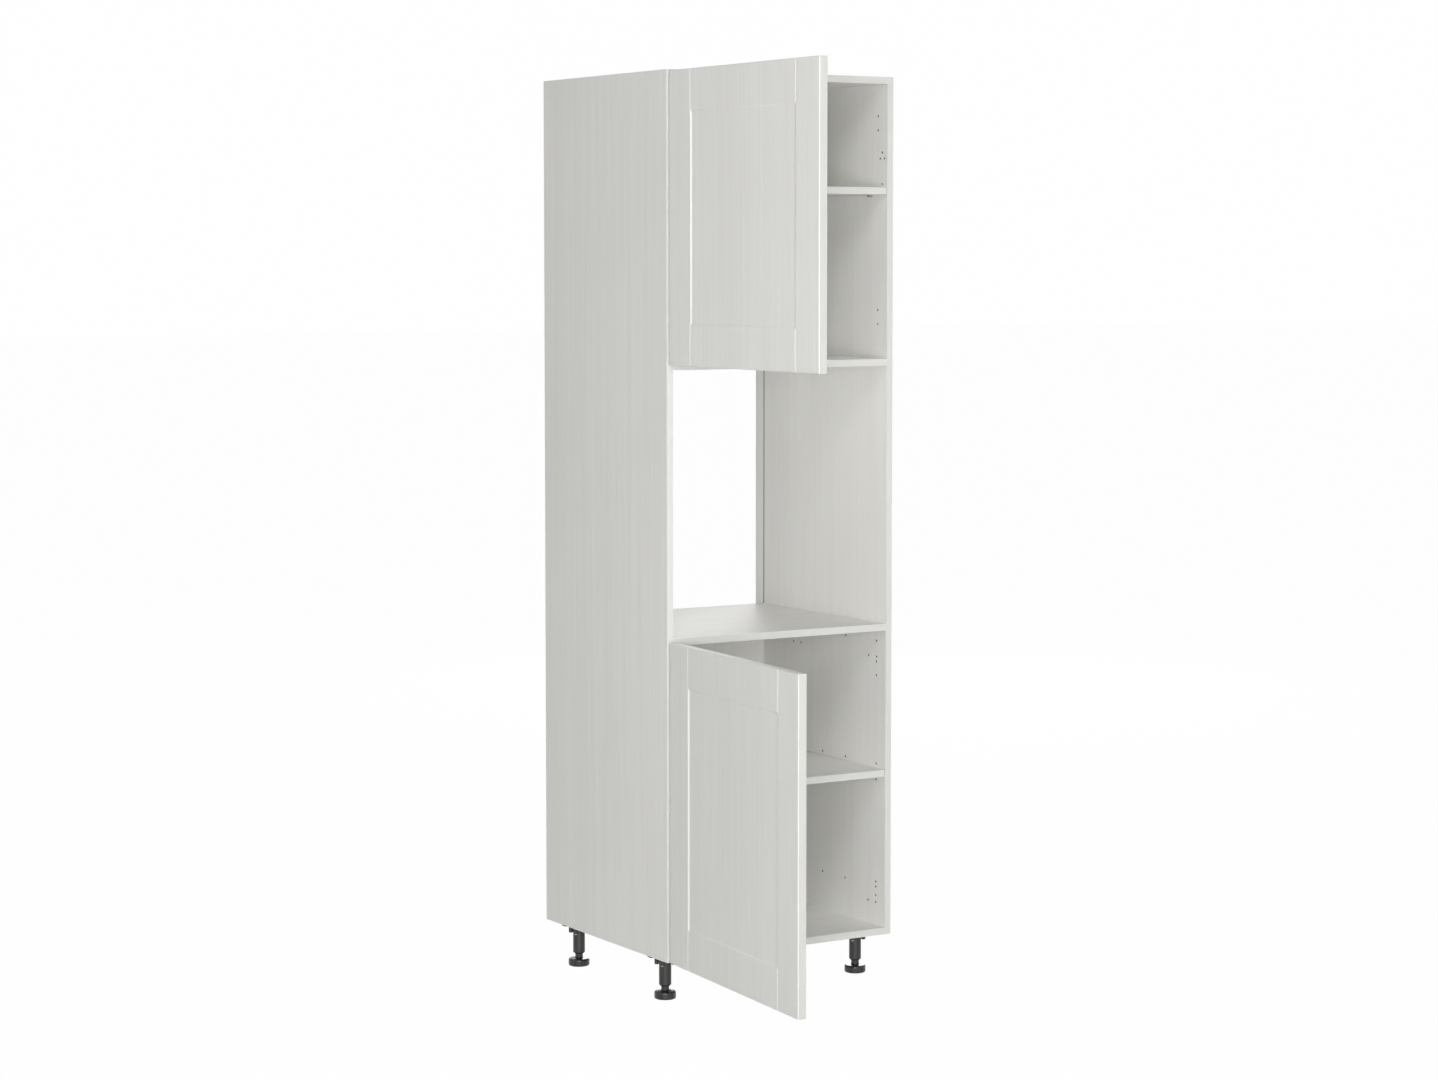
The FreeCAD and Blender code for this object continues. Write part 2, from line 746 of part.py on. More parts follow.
def door(label, height, motion, base):
    body = new_body(label)
    slab = new_sketch(body, "XZ_Plane")
    draw_box(slab, ("-door_half", "0"), ("door_half", height))
    blank = add_pad(body, slab, "door_thickness")
    doc.recompute()
    rounding = body.newObject("PartDesign::Fillet", label + "_round")
    rounding.Base = (blank, front_edges(blank, value("door_thickness")))
    rounding.setExpression("Radius", formula("door_edge_radius"))
    sections = []
    for inset, offset in (
        ("frame_width", "door_thickness"),
        ("(frame_width + bevel_width)", "door_thickness - recess_depth"),
    ):
        section = new_sketch(body, "XZ_Plane", offset)
        draw_box(section, (f"{inset} - door_half", inset), (f"door_half - {inset}", f"{height} - {inset}"))
        sections.append(section)
    recess = body.newObject("PartDesign::SubtractiveLoft", label + "_recess")
    recess.Profile = sections[0]
    recess.Sections = [sections[1]]
    recess.Ruled = True
    for rail in ("0", f"{height} - frame_width"):
        joints = new_sketch(body, "XY_Plane", rail)
        for side in ("-", ""):
            line = f"{side}(door_half - frame_width)"
            draw_outline(joints, [
                (f"{line} - joint_groove_width / 2", "-door_thickness"),
                (f"{line} + joint_groove_width / 2", "-door_thickness"),
                (line, "joint_groove_depth - door_thickness"),
            ])
        add_pocket(body, joints, "frame_width", backwards=True)
    bores = new_sketch(body, "XZ_Plane")
    pilots = new_sketch(body, "XZ_Plane")
    for level in ("hinge_inset", f"{height} - hinge_inset"):
        draw_circle(bores, ("cup_inset - door_half", level), "cup_diameter")
        for sign in ("-", "+"):
            spot = ("cup_inset + cup_screw_offset - door_half", f"{level} {sign} cup_screw_spacing / 2")
            draw_circle(pilots, spot, "cup_screw_diameter + screw_gap")
    add_pocket(body, bores, "cup_bore_depth", backwards=True)
    add_pocket(body, pilots, "cup_screw_length", backwards=True)
    body.Placement = motion.multiply(base)
    nodes.append(body)


# Hinge cup: a round shell let into the door, with a screwed flange and two lugs
# that hold the cup's pin. Its own frame has the pin's place on the door's back face.

def round_cup():
    cup = new_body("cup_master")
    shell = new_sketch(cup, "XZ_Plane")
    draw_circle(shell, ("0", "0"), "cup_diameter - 2 * cup_gap")
    add_pad(cup, shell, "cup_floor")
    flange = new_sketch(cup, "XZ_Plane")
    draw_circle(flange, ("0", "0"), "cup_diameter + 2 * cup_flange_margin")
    add_pad(cup, flange, "cup_flange_thickness", backwards=True)
    ears = new_sketch(cup, "XZ_Plane")
    low = ("cup_screw_offset - cup_ear_width / 2", "-cup_ear_length / 2")
    high = ("cup_screw_offset + cup_ear_width / 2", "cup_ear_length / 2")
    draw_box(ears, low, high)
    add_pad(cup, ears, "cup_flange_thickness", backwards=True)
    hollow = new_sketch(cup, "XZ_Plane", "-cup_flange_thickness")
    draw_circle(hollow, ("0", "0"), "2 * cup_inner_radius")
    add_pocket(cup, hollow, "cup_floor + cup_flange_thickness - cup_wall", backwards=True)
    for sign, backwards in (("", False), ("-", True)):
        lug = new_sketch(cup, "XY_Plane", f"{sign}cup_lug_base")
        draw_circle(lug, ("cup_pin_x", "-cup_pin_depth"), "2 * cup_lug_radius")
        add_pad(cup, lug, "cup_lug_length", backwards=backwards)
    pin_bore = new_sketch(cup, "XY_Plane")
    draw_circle(pin_bore, ("cup_pin_x", "-cup_pin_depth"), "cup_pin_diameter + 2 * pin_clearance")
    add_pocket(cup, pin_bore, "cup_pin_length", both_ways=True)
    fixing = new_sketch(cup, "XZ_Plane", "-cup_flange_thickness")
    for sign in ("-", ""):
        draw_circle(fixing, ("cup_screw_offset", f"{sign}cup_screw_spacing / 2"), "cup_screw_diameter + screw_gap")
    add_pocket(cup, fixing, "cup_flange_thickness", backwards=True)
    return cup


def link_bar():
    # a bent bar between the arm's pin and the cup's pin, drawn with the door closed
    link = new_body("link_master")
    spans = (
        (("pin_x", "pin_y"), ("elbow_x", "elbow_y"), "link_tip_radius"),
        (("elbow_x", "elbow_y"), ("arm_pivot_offset", "arm_pivot_setback"), "link_bar_radius"),
    )
    for start, end, radius in spans:
        span = new_sketch(link, "XY_Plane")
        draw_slot(span, start, end, radius)
        add_pad(link, span, "link_width", both_ways=True)
    eyes = (
        (("arm_pivot_offset", "arm_pivot_setback"), "link_eye_radius", "arm_pin_diameter"),
        (("pin_x", "pin_y"), "link_tip_eye_radius", "cup_pin_diameter"),
    )
    for centre, radius, bore in eyes:
        eye = new_sketch(link, "XY_Plane")
        draw_circle(eye, centre, f"2 * {radius}")
        add_pad(link, eye, "link_width", both_ways=True)
    for centre, radius, bore in eyes:
        hole = new_sketch(link, "XY_Plane")
        draw_circle(hole, centre, f"{bore} + 2 * pin_clearance")
        add_pocket(link, hole, "2 * link_width", both_ways=True)
    return link


def hinge_arm():
    # the arm lies on the mounting plate's block and ends in a fork at the pivot
    arm = new_body("arm_master")
    strap = new_sketch(arm, "XY_Plane")
    draw_outline(strap, [
        ("plate_block_height", "arm_length"),
        ("plate_block_height", "arm_bend_setback"),
        ("arm_pivot_offset - arm_eye_radius", "arm_pivot_setback"),
        ("arm_pivot_offset + arm_eye_radius", "arm_pivot_setback"),
        ("arm_top", "arm_bend_setback + arm_thickness"),
        ("arm_top", "arm_length"),
    ])
    add_pad(arm, strap, "arm_width", both_ways=True)
    eye = new_sketch(arm, "XY_Plane")
    draw_circle(eye, ("arm_pivot_offset", "arm_pivot_setback"), "2 * arm_eye_radius")
    add_pad(arm, eye, "arm_width", both_ways=True)
    fork = new_sketch(arm, "XY_Plane")
    low = ("0", "-2 * arm_eye_radius")
    high = ("arm_pivot_offset + 2 * arm_eye_radius", "arm_pivot_setback + arm_fork_depth")
    draw_box(fork, low, high)
    add_pocket(arm, fork, "2 * arm_fork_half", both_ways=True)
    bore = new_sketch(arm, "XY_Plane")
    draw_circle(bore, ("arm_pivot_offset", "arm_pivot_setback"), "arm_pin_diameter + 2 * pin_clearance")
    add_pocket(arm, bore, "2 * arm_width", both_ways=True)
    clamp = new_sketch(arm, "YZ_Plane")
    draw_circle(clamp, ("arm_screw_setback", "0"), "arm_screw_diameter + screw_gap")
    add_pocket(arm, clamp, "2 * arm_top", both_ways=True)
    return arm


def mounting_plate():
    plate = new_body("plate_master")
    wings = new_sketch(plate, "YZ_Plane")
    low = ("system_setback - plate_wing_width / 2", "-plate_wing_length / 2")
    high = ("system_setback + plate_wing_width / 2", "plate_wing_length / 2")
    draw_box(wings, low, high)
    add_pad(plate, wings, "plate_thickness")
    block = new_sketch(plate, "YZ_Plane")
    draw_box(block, ("plate_block_front", "-plate_block_width / 2"), ("arm_length", "plate_block_width / 2"))
    add_pad(plate, block, "plate_block_height")
    holes = new_sketch(plate, "YZ_Plane")
    for sign in ("-", ""):
        draw_circle(holes, ("system_setback", f"{sign}hole_pitch / 2"), "plate_screw_diameter + screw_gap")
    add_pocket(plate, holes, "plate_block_height", backwards=True)
    thread = new_sketch(plate, "YZ_Plane", "plate_block_height")
    draw_circle(thread, ("arm_screw_setback", "0"), "arm_screw_diameter + screw_gap")
    add_pocket(plate, thread, "arm_screw_depth")
    return plate


def wood_screw(label, diameter, length, head_diameter, head_height):
    # shank along -Z from the face that the head rests on
    body = turned_body(label, [
        ("0", f"-{length}"),
        (f"{diameter} / 2", f"-{length} + {diameter}"),
        (f"{diameter} / 2", "0"),
        (f"{head_diameter} / 2", "0"),
        (f"{head_diameter} / 2", f"{head_height} / 2"),
        (f"{head_diameter} / 3", head_height),
        ("0", head_height),
    ])
    cross = new_sketch(body, "XY_Plane", head_height)
    draw_cross(cross, f"{head_diameter} * cross_length_share / 2", f"{head_diameter} * cross_width_share / 2")
    add_pocket(body, cross, f"{head_height} * cross_depth_share")
    return body


def plain_pin(label, diameter, length):
    return turned_body(label, [
        ("0", f"-{length} / 2"),
        (f"{diameter} / 2", f"-{length} / 2"),
        (f"{diameter} / 2", f"{length} / 2"),
        ("0", f"{length} / 2"),
    ])


cup_master = round_cup()
link_master = link_bar()
arm_master = hinge_arm()
plate_master = mounting_plate()
plate_screw = wood_screw(
    "plate_screw_master", "plate_screw_diameter", "plate_screw_length",
    "plate_screw_head_diameter", "plate_screw_head_height")
arm_screw = wood_screw(
    "arm_screw_master", "arm_screw_diameter", "(arm_thickness + arm_screw_depth - screw_gap)",
    "arm_screw_head_diameter", "arm_screw_head_height")
cup_screw = wood_screw(
    "cup_screw_master", "cup_screw_diameter", "cup_screw_length",
    "cup_screw_head_diameter", "cup_screw_head_height")
arm_pin = plain_pin("arm_pin_master", "arm_pin_diameter", "arm_width")
cup_pin = plain_pin("cup_pin_master", "cup_pin_diameter", "(cup_pin_length - pin_clearance)")
bumper = turned_body("bumper_master", [
    ("0", "0"),
    ("bumper_diameter / 2", "0"),
    ("bumper_diameter / 2", "bumper_thickness / 2"),
    ("bumper_diameter / 3", "bumper_thickness"),
    ("0", "bumper_thickness"),
])


def copy_of(label, master, placement):
    # one piece of a kind that is used several times
    link = doc.addObject("App::Link", label)
    link.Label = label
    link.LinkedObject = master
    link.Placement = placement
    nodes.append(link)


def hang_door(name):
    base_level = value(name + "_base")
    height = value(name + "_height")
    open_angle = value(name.split("_")[0] + "_open_angle")
    door_swing = door_motion(open_angle)
    link_swing = link_motion(open_angle)
    back = -value("door_gap")
    door(name, name + "_height", door_swing, at(0, back, base_level))
    cup_x = value("cup_inset") - value("door_half")
    wall_x = -value("inner_half")
    cup_pins = []
    cup_screws = []
    arm_pins = []
    for end, level in (
        ("bottom", base_level + value("hinge_inset")),
        ("top", base_level + height - value("hinge_inset")),
    ):
        hinge = f"{name}_{end}"
        copy_of(hinge + "_hinge_plate", plate_master, at(wall_x, 0, level))
        copy_of(hinge + "_hinge_arm", arm_master, at(wall_x, 0, level))
        copy_of(hinge + "_hinge_link", link_master, link_swing.multiply(at(wall_x, 0, level)))
        copy_of(hinge + "_hinge_cup", cup_master, door_swing.multiply(at(cup_x, back, level)))
        pin_spot = at(wall_x + value("pin_x"), value("pin_y"), level)
        cup_pins.append(door_swing.multiply(pin_spot))
        pivot = (wall_x + value("arm_pivot_offset"), value("arm_pivot_setback"))
        arm_pins.append(at(pivot[0], pivot[1], level))
        for sign in (-1, 1):
            spot = (
                cup_x + value("cup_screw_offset"),
                back + value("cup_flange_thickness"),
                level + sign * value("cup_screw_spacing") / 2,
            )
            cup_screws.append(door_swing.multiply(at(*spot, TO_BACK)))
    keep_group(name + "_cup_pins", cup_pin, cup_pins)
    keep_group(name + "_cup_screws", cup_screw, cup_screws)
    keep_group(name + "_arm_pins", arm_pin, arm_pins)
    corner_x = value("door_half") - value("bumper_inset")
    corners = []
    for level in (base_level + value("bumper_inset"), base_level + height - value("bumper_inset")):
        corners.append(door_swing.multiply(at(corner_x, back, level, TO_BACK)))
    keep_group(name + "_bumpers", bumper, corners)


hang_door("upper_door")
hang_door("lower_door")

plate_screws = []
arm_screws = []
for level in ("lower_door", "upper_door"):
    low = value(level + "_base") + value("hinge_inset")
    high = value(level + "_base") + value(level + "_height") - value("hinge_inset")
    for height in (low, high):
        for sign in (-1, 1):
            plate_screws.append(at(
                -value("inner_half") + value("plate_thickness"), value("system_setback"),
                height + sign * value("hole_pitch") / 2, TO_RIGHT))
        arm_screws.append(at(
            -value("inner_half") + value("arm_top"), value("arm_screw_setback"), height, TO_RIGHT))
keep_group("hinge_plate_screws", plate_screw, plate_screws)
keep_group("hinge_arm_screws", arm_screw, arm_screws)


# Legs: a tube under a plate that is pegged into the bottom panel and reaches under
# the side panel, and a round foot on a stem that screws up into the tube

def leg(label, side, depth):
    body = new_body(label)
    plate_level = "leg_height - leg_plate_thickness"
    collar = new_sketch(body, "XY_Plane", plate_level)
    draw_circle(collar, ("0", "0"), "2 * leg_collar_radius")
    add_pad(body, collar, "leg_plate_thickness")
    tail = new_sketch(body, "XY_Plane", plate_level)
    end = "-leg_tail_reach" if side < 0 else "leg_tail_reach"
    draw_outline(tail, [
        ("0", "-leg_collar_radius"),
        (end, "-leg_tail_width / 2"),
        (end, "leg_tail_width / 2"),
        ("0", "leg_collar_radius"),
    ])
    add_pad(body, tail, "leg_plate_thickness")
    pegs = new_sketch(body, "XY_Plane", "leg_height - leg_peg_drop")
    for across, along in peg_spots():
        draw_circle(pegs, (across, along), "leg_peg_diameter")
    add_pad(body, pegs, "leg_peg_drop + leg_peg_rise")
    tube = new_sketch(body, "XZ_Plane")
    draw_outline(tube, [
        ("stem_diameter / 2 + stem_clearance", "leg_tube_base"),
        ("leg_tube_diameter / 2 - leg_tube_chamfer", "leg_tube_base"),
        ("leg_tube_diameter / 2", "leg_tube_base + leg_tube_chamfer"),
        ("leg_tube_diameter / 2", "leg_height"),
        ("0", "leg_height"),
        ("0", "leg_bore_top"),
        ("stem_diameter / 2 + stem_clearance", "leg_bore_top"),
    ])
    add_revolution(body, tube)
    bores = new_sketch(body, "XY_Plane", "leg_height - leg_peg_drop")
    for across, along in peg_spots():
        draw_circle(bores, (across, along), "leg_pin_diameter + screw_gap")
    add_pocket(body, bores, "leg_peg_drop + leg_peg_rise", backwards=True)
    keep(body, FreeCAD.Vector(side * abs(value("leg_left")), value(depth), 0))


def ring_edges(feature, diameter, level):
    names = []
    for index, edge in enumerate(feature.Shape.Edges, start=1):
        curve = edge.Curve
        if isinstance(curve, Part.Circle):
            off = abs(curve.Radius - diameter / 2) + abs(curve.Center.z - level)
            if off < Part.Precision.confusion():
                names.append(f"Edge{index}")
    return names


def round_ring(body, feature, diameter, level, radius):
    doc.recompute()
    rounding = body.newObject("PartDesign::Fillet", body.Label + "_round")
    rounding.Base = (feature, ring_edges(feature, value(diameter), value(level) if level else 0))
    rounding.setExpression("Radius", formula(radius))
    return rounding


def foot(label, side, depth):
    body = new_body(label)
    profile = new_sketch(body, "XZ_Plane")
    draw_outline(profile, [
        ("0", "0"),
        ("foot_diameter / 2", "0"),
        ("foot_diameter / 2", "foot_height"),
        ("foot_crown_diameter / 2", "foot_crown_height"),
        ("stem_diameter / 2", "foot_neck_height"),
        ("stem_diameter / 2", "stem_top"),
        ("0", "stem_top"),
    ])
    turned = add_revolution(body, profile)
    rounded = round_ring(body, turned, "foot_diameter", "foot_height", "foot_top_round")
    round_ring(body, rounded, "foot_diameter", None, "foot_base_round")
    grip = new_sketch(body, "XY_Plane")
    draw_circle(grip, ("foot_diameter / 2", "0"), "foot_grip_diameter")
    notch = add_pocket(body, grip, "foot_grip_height", backwards=True)
    ring = body.newObject("PartDesign::PolarPattern", label + "_grips")
    ring.Originals = [notch]
    ring.Axis = (grip, ["N_Axis"])
    ring.Angle = 360
    ring.Occurrences = FOOT_GRIPS
    body.Tip = ring
    spot = FreeCAD.Vector(side * abs(value("leg_left")), value(depth), 0)
    keep(body, spot, FreeCAD.Rotation(Z_AXIS, value("foot_turn_angle")))


leg_pin = turned_body("leg_pin_master", [
    ("0", "-leg_pin_length"),
    ("leg_pin_diameter / 2", "-leg_pin_length"),
    ("leg_pin_diameter / 2", "0"),
    ("leg_pin_head_diameter / 2", "0"),
    ("leg_pin_head_diameter / 2", "leg_pin_head_height"),
    ("0", "leg_pin_head_height"),
])
leg_pins = []
UPSIDE_DOWN = FreeCAD.Rotation(X_AXIS, 180)
for front, depth in (("front", "leg_front_inset"), ("rear", "leg_back")):
    for side_name, side in (("left", -1), ("right", 1)):
        leg(f"{front}_{side_name}_leg", side, depth)
        foot(f"{front}_{side_name}_foot", side, depth)
        for across in (-1, 1):
            for along in (-1, 1):
                leg_pins.append(at(
                    side * abs(value("leg_left")) + across * value("leg_peg_side"),
                    value(depth) + along * value("leg_peg_back"),
                    value("leg_height") - value("leg_peg_drop"), UPSIDE_DOWN))
keep_group("leg_pins", leg_pin, leg_pins)


# The origin goes to the middle of the whole footprint, doors as they stand open

doc.recompute()


def shape_of(node):
    return Part.getShape(node) if node.TypeId == "App::Link" else node.Shape


extent = FreeCAD.BoundBox()
for node in nodes:
    extent.add(shape_of(node).optimalBoundingBox(False, False))
step = FreeCAD.Vector(-extent.Center.x, -extent.Center.y, 0)
for node in nodes:
    placement = node.Placement
    node.Placement = FreeCAD.Placement(placement.Base + step, placement.Rotation)


# Test every object and write one file per node

doc.recompute()
for item in doc.Objects:
    if "Invalid" in item.State or "Error" in item.State:
        raise ValueError("failed object: " + item.Label)
os.makedirs("parts", exist_ok=True)
for node in nodes:
    shape = shape_of(node)
    if shape.isNull() or not shape.isValid() or not shape.Solids:
        raise ValueError("bad shape: " + node.Label)
    shape.exportStep(os.path.join("parts", node.Label + ".step"))
print(len(nodes), "nodes written")
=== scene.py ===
import math

import bpy
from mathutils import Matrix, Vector


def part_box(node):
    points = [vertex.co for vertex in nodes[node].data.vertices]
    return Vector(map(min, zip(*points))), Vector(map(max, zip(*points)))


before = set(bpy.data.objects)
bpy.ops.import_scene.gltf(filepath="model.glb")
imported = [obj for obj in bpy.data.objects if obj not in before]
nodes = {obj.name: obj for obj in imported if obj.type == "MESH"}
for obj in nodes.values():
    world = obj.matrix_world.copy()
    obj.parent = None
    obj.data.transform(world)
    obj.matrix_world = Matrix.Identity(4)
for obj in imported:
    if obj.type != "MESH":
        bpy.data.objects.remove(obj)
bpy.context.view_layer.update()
scene = bpy.context.scene

# Lengths are in metres. Places count from the middle of the carcass front, on the floor.

HALF_CABINET = 0.3


def set_out_origin():
    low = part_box("side_edge_bands")[0]
    return Vector((low.x + HALF_CABINET, low.y, 0.0))


ORIGIN = set_out_origin()


def add_object(name, data, place=(0.0, 0.0, 0.0)):
    added = bpy.data.objects.new(name, data)
    added.location = place
    scene.collection.objects.link(added)
    return added


# Camera, fitted to the photo's straight edges

IMAGE_WIDTH = 1438
FOCAL_PIXELS = 3200.93
SENSOR_WIDTH = 36.0
SHIFT_SHARE = -0.045
CAMERA_PLACE = Vector((-3.8697, -6.0316, 1.6558))
CAMERA_YAW = math.radians(31.5561)
CAMERA_PITCH = math.radians(3.8511)
CLIP_RANGE = (0.1, 100.0)


def make_camera():
    data = bpy.data.cameras.new("camera")
    data.sensor_fit = "HORIZONTAL"
    data.sensor_width = SENSOR_WIDTH
    data.lens = FOCAL_PIXELS / IMAGE_WIDTH * SENSOR_WIDTH
    data.shift_y = SHIFT_SHARE
    data.clip_start, data.clip_end = CLIP_RANGE
    camera = add_object("camera", data, ORIGIN + CAMERA_PLACE)
    camera.rotation_euler = (math.radians(90) - CAMERA_PITCH, 0.0, -CAMERA_YAW)
    scene.camera = camera


# Node helpers

BEVEL_SAMPLES = 6
# ambient-occlusion settings of the painted shade down in holes and grooves
HOLE_SHADE_SAMPLES = 6
HOLE_SHADE_RANGE = (0.85, 0.35)
# sockets of a Mix node that is set to mix colours
MIX_FACTOR, MIX_FIRST, MIX_SECOND, MIX_RESULT = 0, 6, 7, 2


class Nodes:
    # a node tree under construction; a method adds nodes and gives the last one's socket

    def __init__(self, tree, output):
        self.tree = tree
        self.tree.nodes.clear()
        self.output = self.add(output)

    def add(self, kind, **settings):
        node = self.tree.nodes.new(kind)
        for key, setting in settings.items():
            setattr(node, key, setting)
        return node

    def put(self, socket, value):
        if isinstance(value, bpy.types.NodeSocket):
            self.tree.links.new(value, socket)
        else:
            socket.default_value = value

    def fill(self, node, **values):
        # input names are written with underscores for spaces
        for key, value in values.items():
            self.put(node.inputs[key.replace("_", " ")], value)
        return node

    def math(self, operation, first, second=0.0):
        node = self.add("ShaderNodeMath", operation=operation)
        self.put(node.inputs[0], first)
        self.put(node.inputs[1], second)
        return node.outputs[0]

    def weighted(self, *pairs):
        # the sum of each value times its share
        total = None
        for value, share in pairs:
            part = self.math("MULTIPLY", value, share)
            total = part if total is None else self.math("ADD", total, part)
        return total

    def mix_shaders(self, factor, first, second):
        node = self.add("ShaderNodeMixShader")
        for socket, value in zip(node.inputs, (factor, first, second)):
            self.put(socket, value)
        return node.outputs[0]

    def seen(self):
        # 1 for what the camera and reflections see, 0 for light that falls on things
        rays = self.add("ShaderNodeLightPath").outputs
        direct = self.math("MAXIMUM", rays["Is Camera Ray"], rays["Is Glossy Ray"])
        return self.math("MAXIMUM", direct, rays["Is Transmission Ray"])

    def finish(self, surface):
        self.put(self.output.inputs["Surface"], surface)


class Shader(Nodes):
    # the node tree of a new material

    def __init__(self, name):
        self.material = bpy.data.materials.new(name)
        self.material.use_nodes = True
        super().__init__(self.material.node_tree, "ShaderNodeOutputMaterial")

    def between(self, value, low, high, start=0.0, end=1.0):
        # a value from low to high as one from start to end
        node = self.fill(self.add("ShaderNodeMapRange", clamp=True), Value=value,
                         From_Min=low, From_Max=high, To_Min=start, To_Max=end)
        return node.outputs["Result"]

    def mix_color(self, factor, first, second):
        node = self.add("ShaderNodeMix", data_type="RGBA")
        self.put(node.inputs[MIX_FACTOR], factor)
        self.put(node.inputs[MIX_FIRST], first)
        self.put(node.inputs[MIX_SECOND], second)
        return node.outputs[MIX_RESULT]

    def place(self):
        return self.add("ShaderNodeTexCoord").outputs["Object"]

    def facing(self, axis):
        # how far the surface faces along an axis, 0 to 1
        node = self.add("ShaderNodeSeparateXYZ")
        self.put(node.inputs[0], self.add("ShaderNodeTexCoord").outputs["Normal"])
        return self.math("ABSOLUTE", node.outputs[axis])

    def stretched(self, place, scale):
        node = self.fill(self.add("ShaderNodeMapping"), Vector=place, Scale=scale)
        return node.outputs["Vector"]

    def noise(self, place, scale, detail=2.0, roughness=0.5, distortion=0.0):
        node = self.fill(self.add("ShaderNodeTexNoise"), Vector=place, Scale=scale,
                         Detail=detail, Roughness=roughness, Distortion=distortion)
        return node.outputs["Fac"]

    def cell_colors(self, place, scale):
        # two different random values, each even over a cell
        cells = self.fill(self.add("ShaderNodeTexVoronoi"), Vector=place, Scale=scale)
        node = self.add("ShaderNodeSeparateColor")
        self.put(node.inputs[0], cells.outputs["Color"])
        return node.outputs[0], node.outputs[1]

    def rounded(self, radius):
        node = self.add("ShaderNodeBevel", samples=BEVEL_SAMPLES)
        return self.fill(node, Radius=radius).outputs[0]

    def edge_mask(self, radius, spread=0.25):
        # near 1 on the surface's outer edges, 0 on its flats
        dot = self.add("ShaderNodeVectorMath", operation="DOT_PRODUCT")
        self.put(dot.inputs[0], self.rounded(radius))
        self.put(dot.inputs[1], self.add("ShaderNodeNewGeometry").outputs["Normal"])
        return self.between(dot.outputs["Value"], 1.0, 1.0 - spread)

    def painted_hole_shade(self, reach):
        # painted shade: near 1 down inside holes and grooves that are narrower than the reach
        node = self.add("ShaderNodeAmbientOcclusion", samples=HOLE_SHADE_SAMPLES)
        return self.between(self.fill(node, Distance=reach).outputs["AO"], *HOLE_SHADE_RANGE)

    def bump(self, height, distance, strength, radius=None):
        node = self.fill(self.add("ShaderNodeBump"), Height=height,
                         Distance=distance, Strength=strength)
        if radius:
            self.fill(node, Normal=self.rounded(radius))
        return node.outputs["Normal"]

    def surface(self, color, roughness, normal, **values):
        node = self.fill(self.add("ShaderNodeBsdfPrincipled"), Base_Color=color,
                         Roughness=roughness, Normal=normal, **values)
        self.finish(node.outputs["BSDF"])
        return self.material


def rgb(red, green, blue):
    # an sRGB colour given in 0 to 255 as the linear colour that a shader takes
    def linear(level):
        share = level / 255
        return share / 12.92 if share <= 0.04045 else ((share + 0.055) / 1.055) ** 2.4
    return (linear(red), linear(green), linear(blue), 1.0)


# Materials. Noise scales are per metre. A noise value lies nearly always in NOISE_RANGE.

AXES = {"x": 0, "y": 1, "z": 2}
NOISE_RANGE = (0.3, 0.7)

GRAIN_STRETCH = {"x": (0.02, 1.0, 1.0), "z": (1.0, 1.0, 0.02)}
GRAIN_CONTRAST = (0.33, 0.67)
FINE_SCALE, FINE_SHARE = 620.0, 0.35
BAND_SCALE, BAND_SHARE = 95.0, 0.4
BROAD_SCALE, BROAD_SHARE = 14.0, 0.25
CLOUD_SCALE, CLOUD_TONES = 2.2, (0.985, 1.015)

CHIP_SCALE, CHIP_FLATNESS = 520.0, (1.0, 1.0, 1.7)
CHIP_DARK, CHIP_PALE = rgb(150, 118, 82), rgb(204, 176, 136)
FLAKE_SCALE, FLAKE_RANGE, FLAKE_SHARE = 900.0, (0.62, 0.72), 0.55
FLAKE_COLOR = rgb(104, 76, 50)
# painted shade: the reach and dark grey colour of the shade drawn inside holes and grooves
HOLE_SHADE_REACH, HOLE_SHADE_COLOR = 0.012, rgb(92, 88, 82)

BOARD_DARK, BOARD_PALE = rgb(230, 229, 225), rgb(240, 240, 237)
BOARD_WORN = rgb(236, 235, 230)
DOOR_DARK, DOOR_PALE = rgb(230, 229, 225), rgb(239, 239, 236)
# painted shade: the door foil's narrow faces, drawn darker than its broad faces to tone down
# the front light
DOOR_EDGE_PAINTED_SHADE = rgb(203, 203, 199)
BAND_DARK, BAND_PALE = rgb(215, 215, 211), rgb(223, 223, 220)
COVER_WORN = rgb(234, 233, 228)
BOARD_ROUGHNESS = (0.5, 0.6)
BAND_ROUGHNESS = (0.46, 0.54)
RAW_EXTRA_ROUGHNESS = 0.35
DECOR_SPECULAR = 0.2
# the facing shares between which a board turns bare, and a facing takes its darker narrow
# colour, painted shade on the door's narrow faces
BARE_TURN, NARROW_SHADE_TURN = (0.75, 0.65), (0.9, 0.97)
BOARD_WORN_SHARE, BAND_WORN_SHARE, DOOR_WORN_SHARE = 0.35, 0.3, 0.45
GRAIN_RELIEF, CHIP_RELIEF = 0.35, 1.0

METAL_LINE_SCALE, METAL_BLOTCH_SCALE = 1800.0, 160.0
METAL_WORN, METAL_WORN_SHARE = rgb(225, 224, 220), 0.5
PEBBLE_SCALE, FLOW_SCALE, FLOW_STRETCH = 2600.0, 90.0, (1.0, 1.0, 0.25)
PLASTIC_WORN, PLASTIC_WORN_SHARE = rgb(96, 96, 94), 0.12
RUBBER_HAZE_SCALE, RUBBER_ROUGHNESS = 700.0, (0.3, 0.45)
BEECH_ROUGHNESS = 0.65


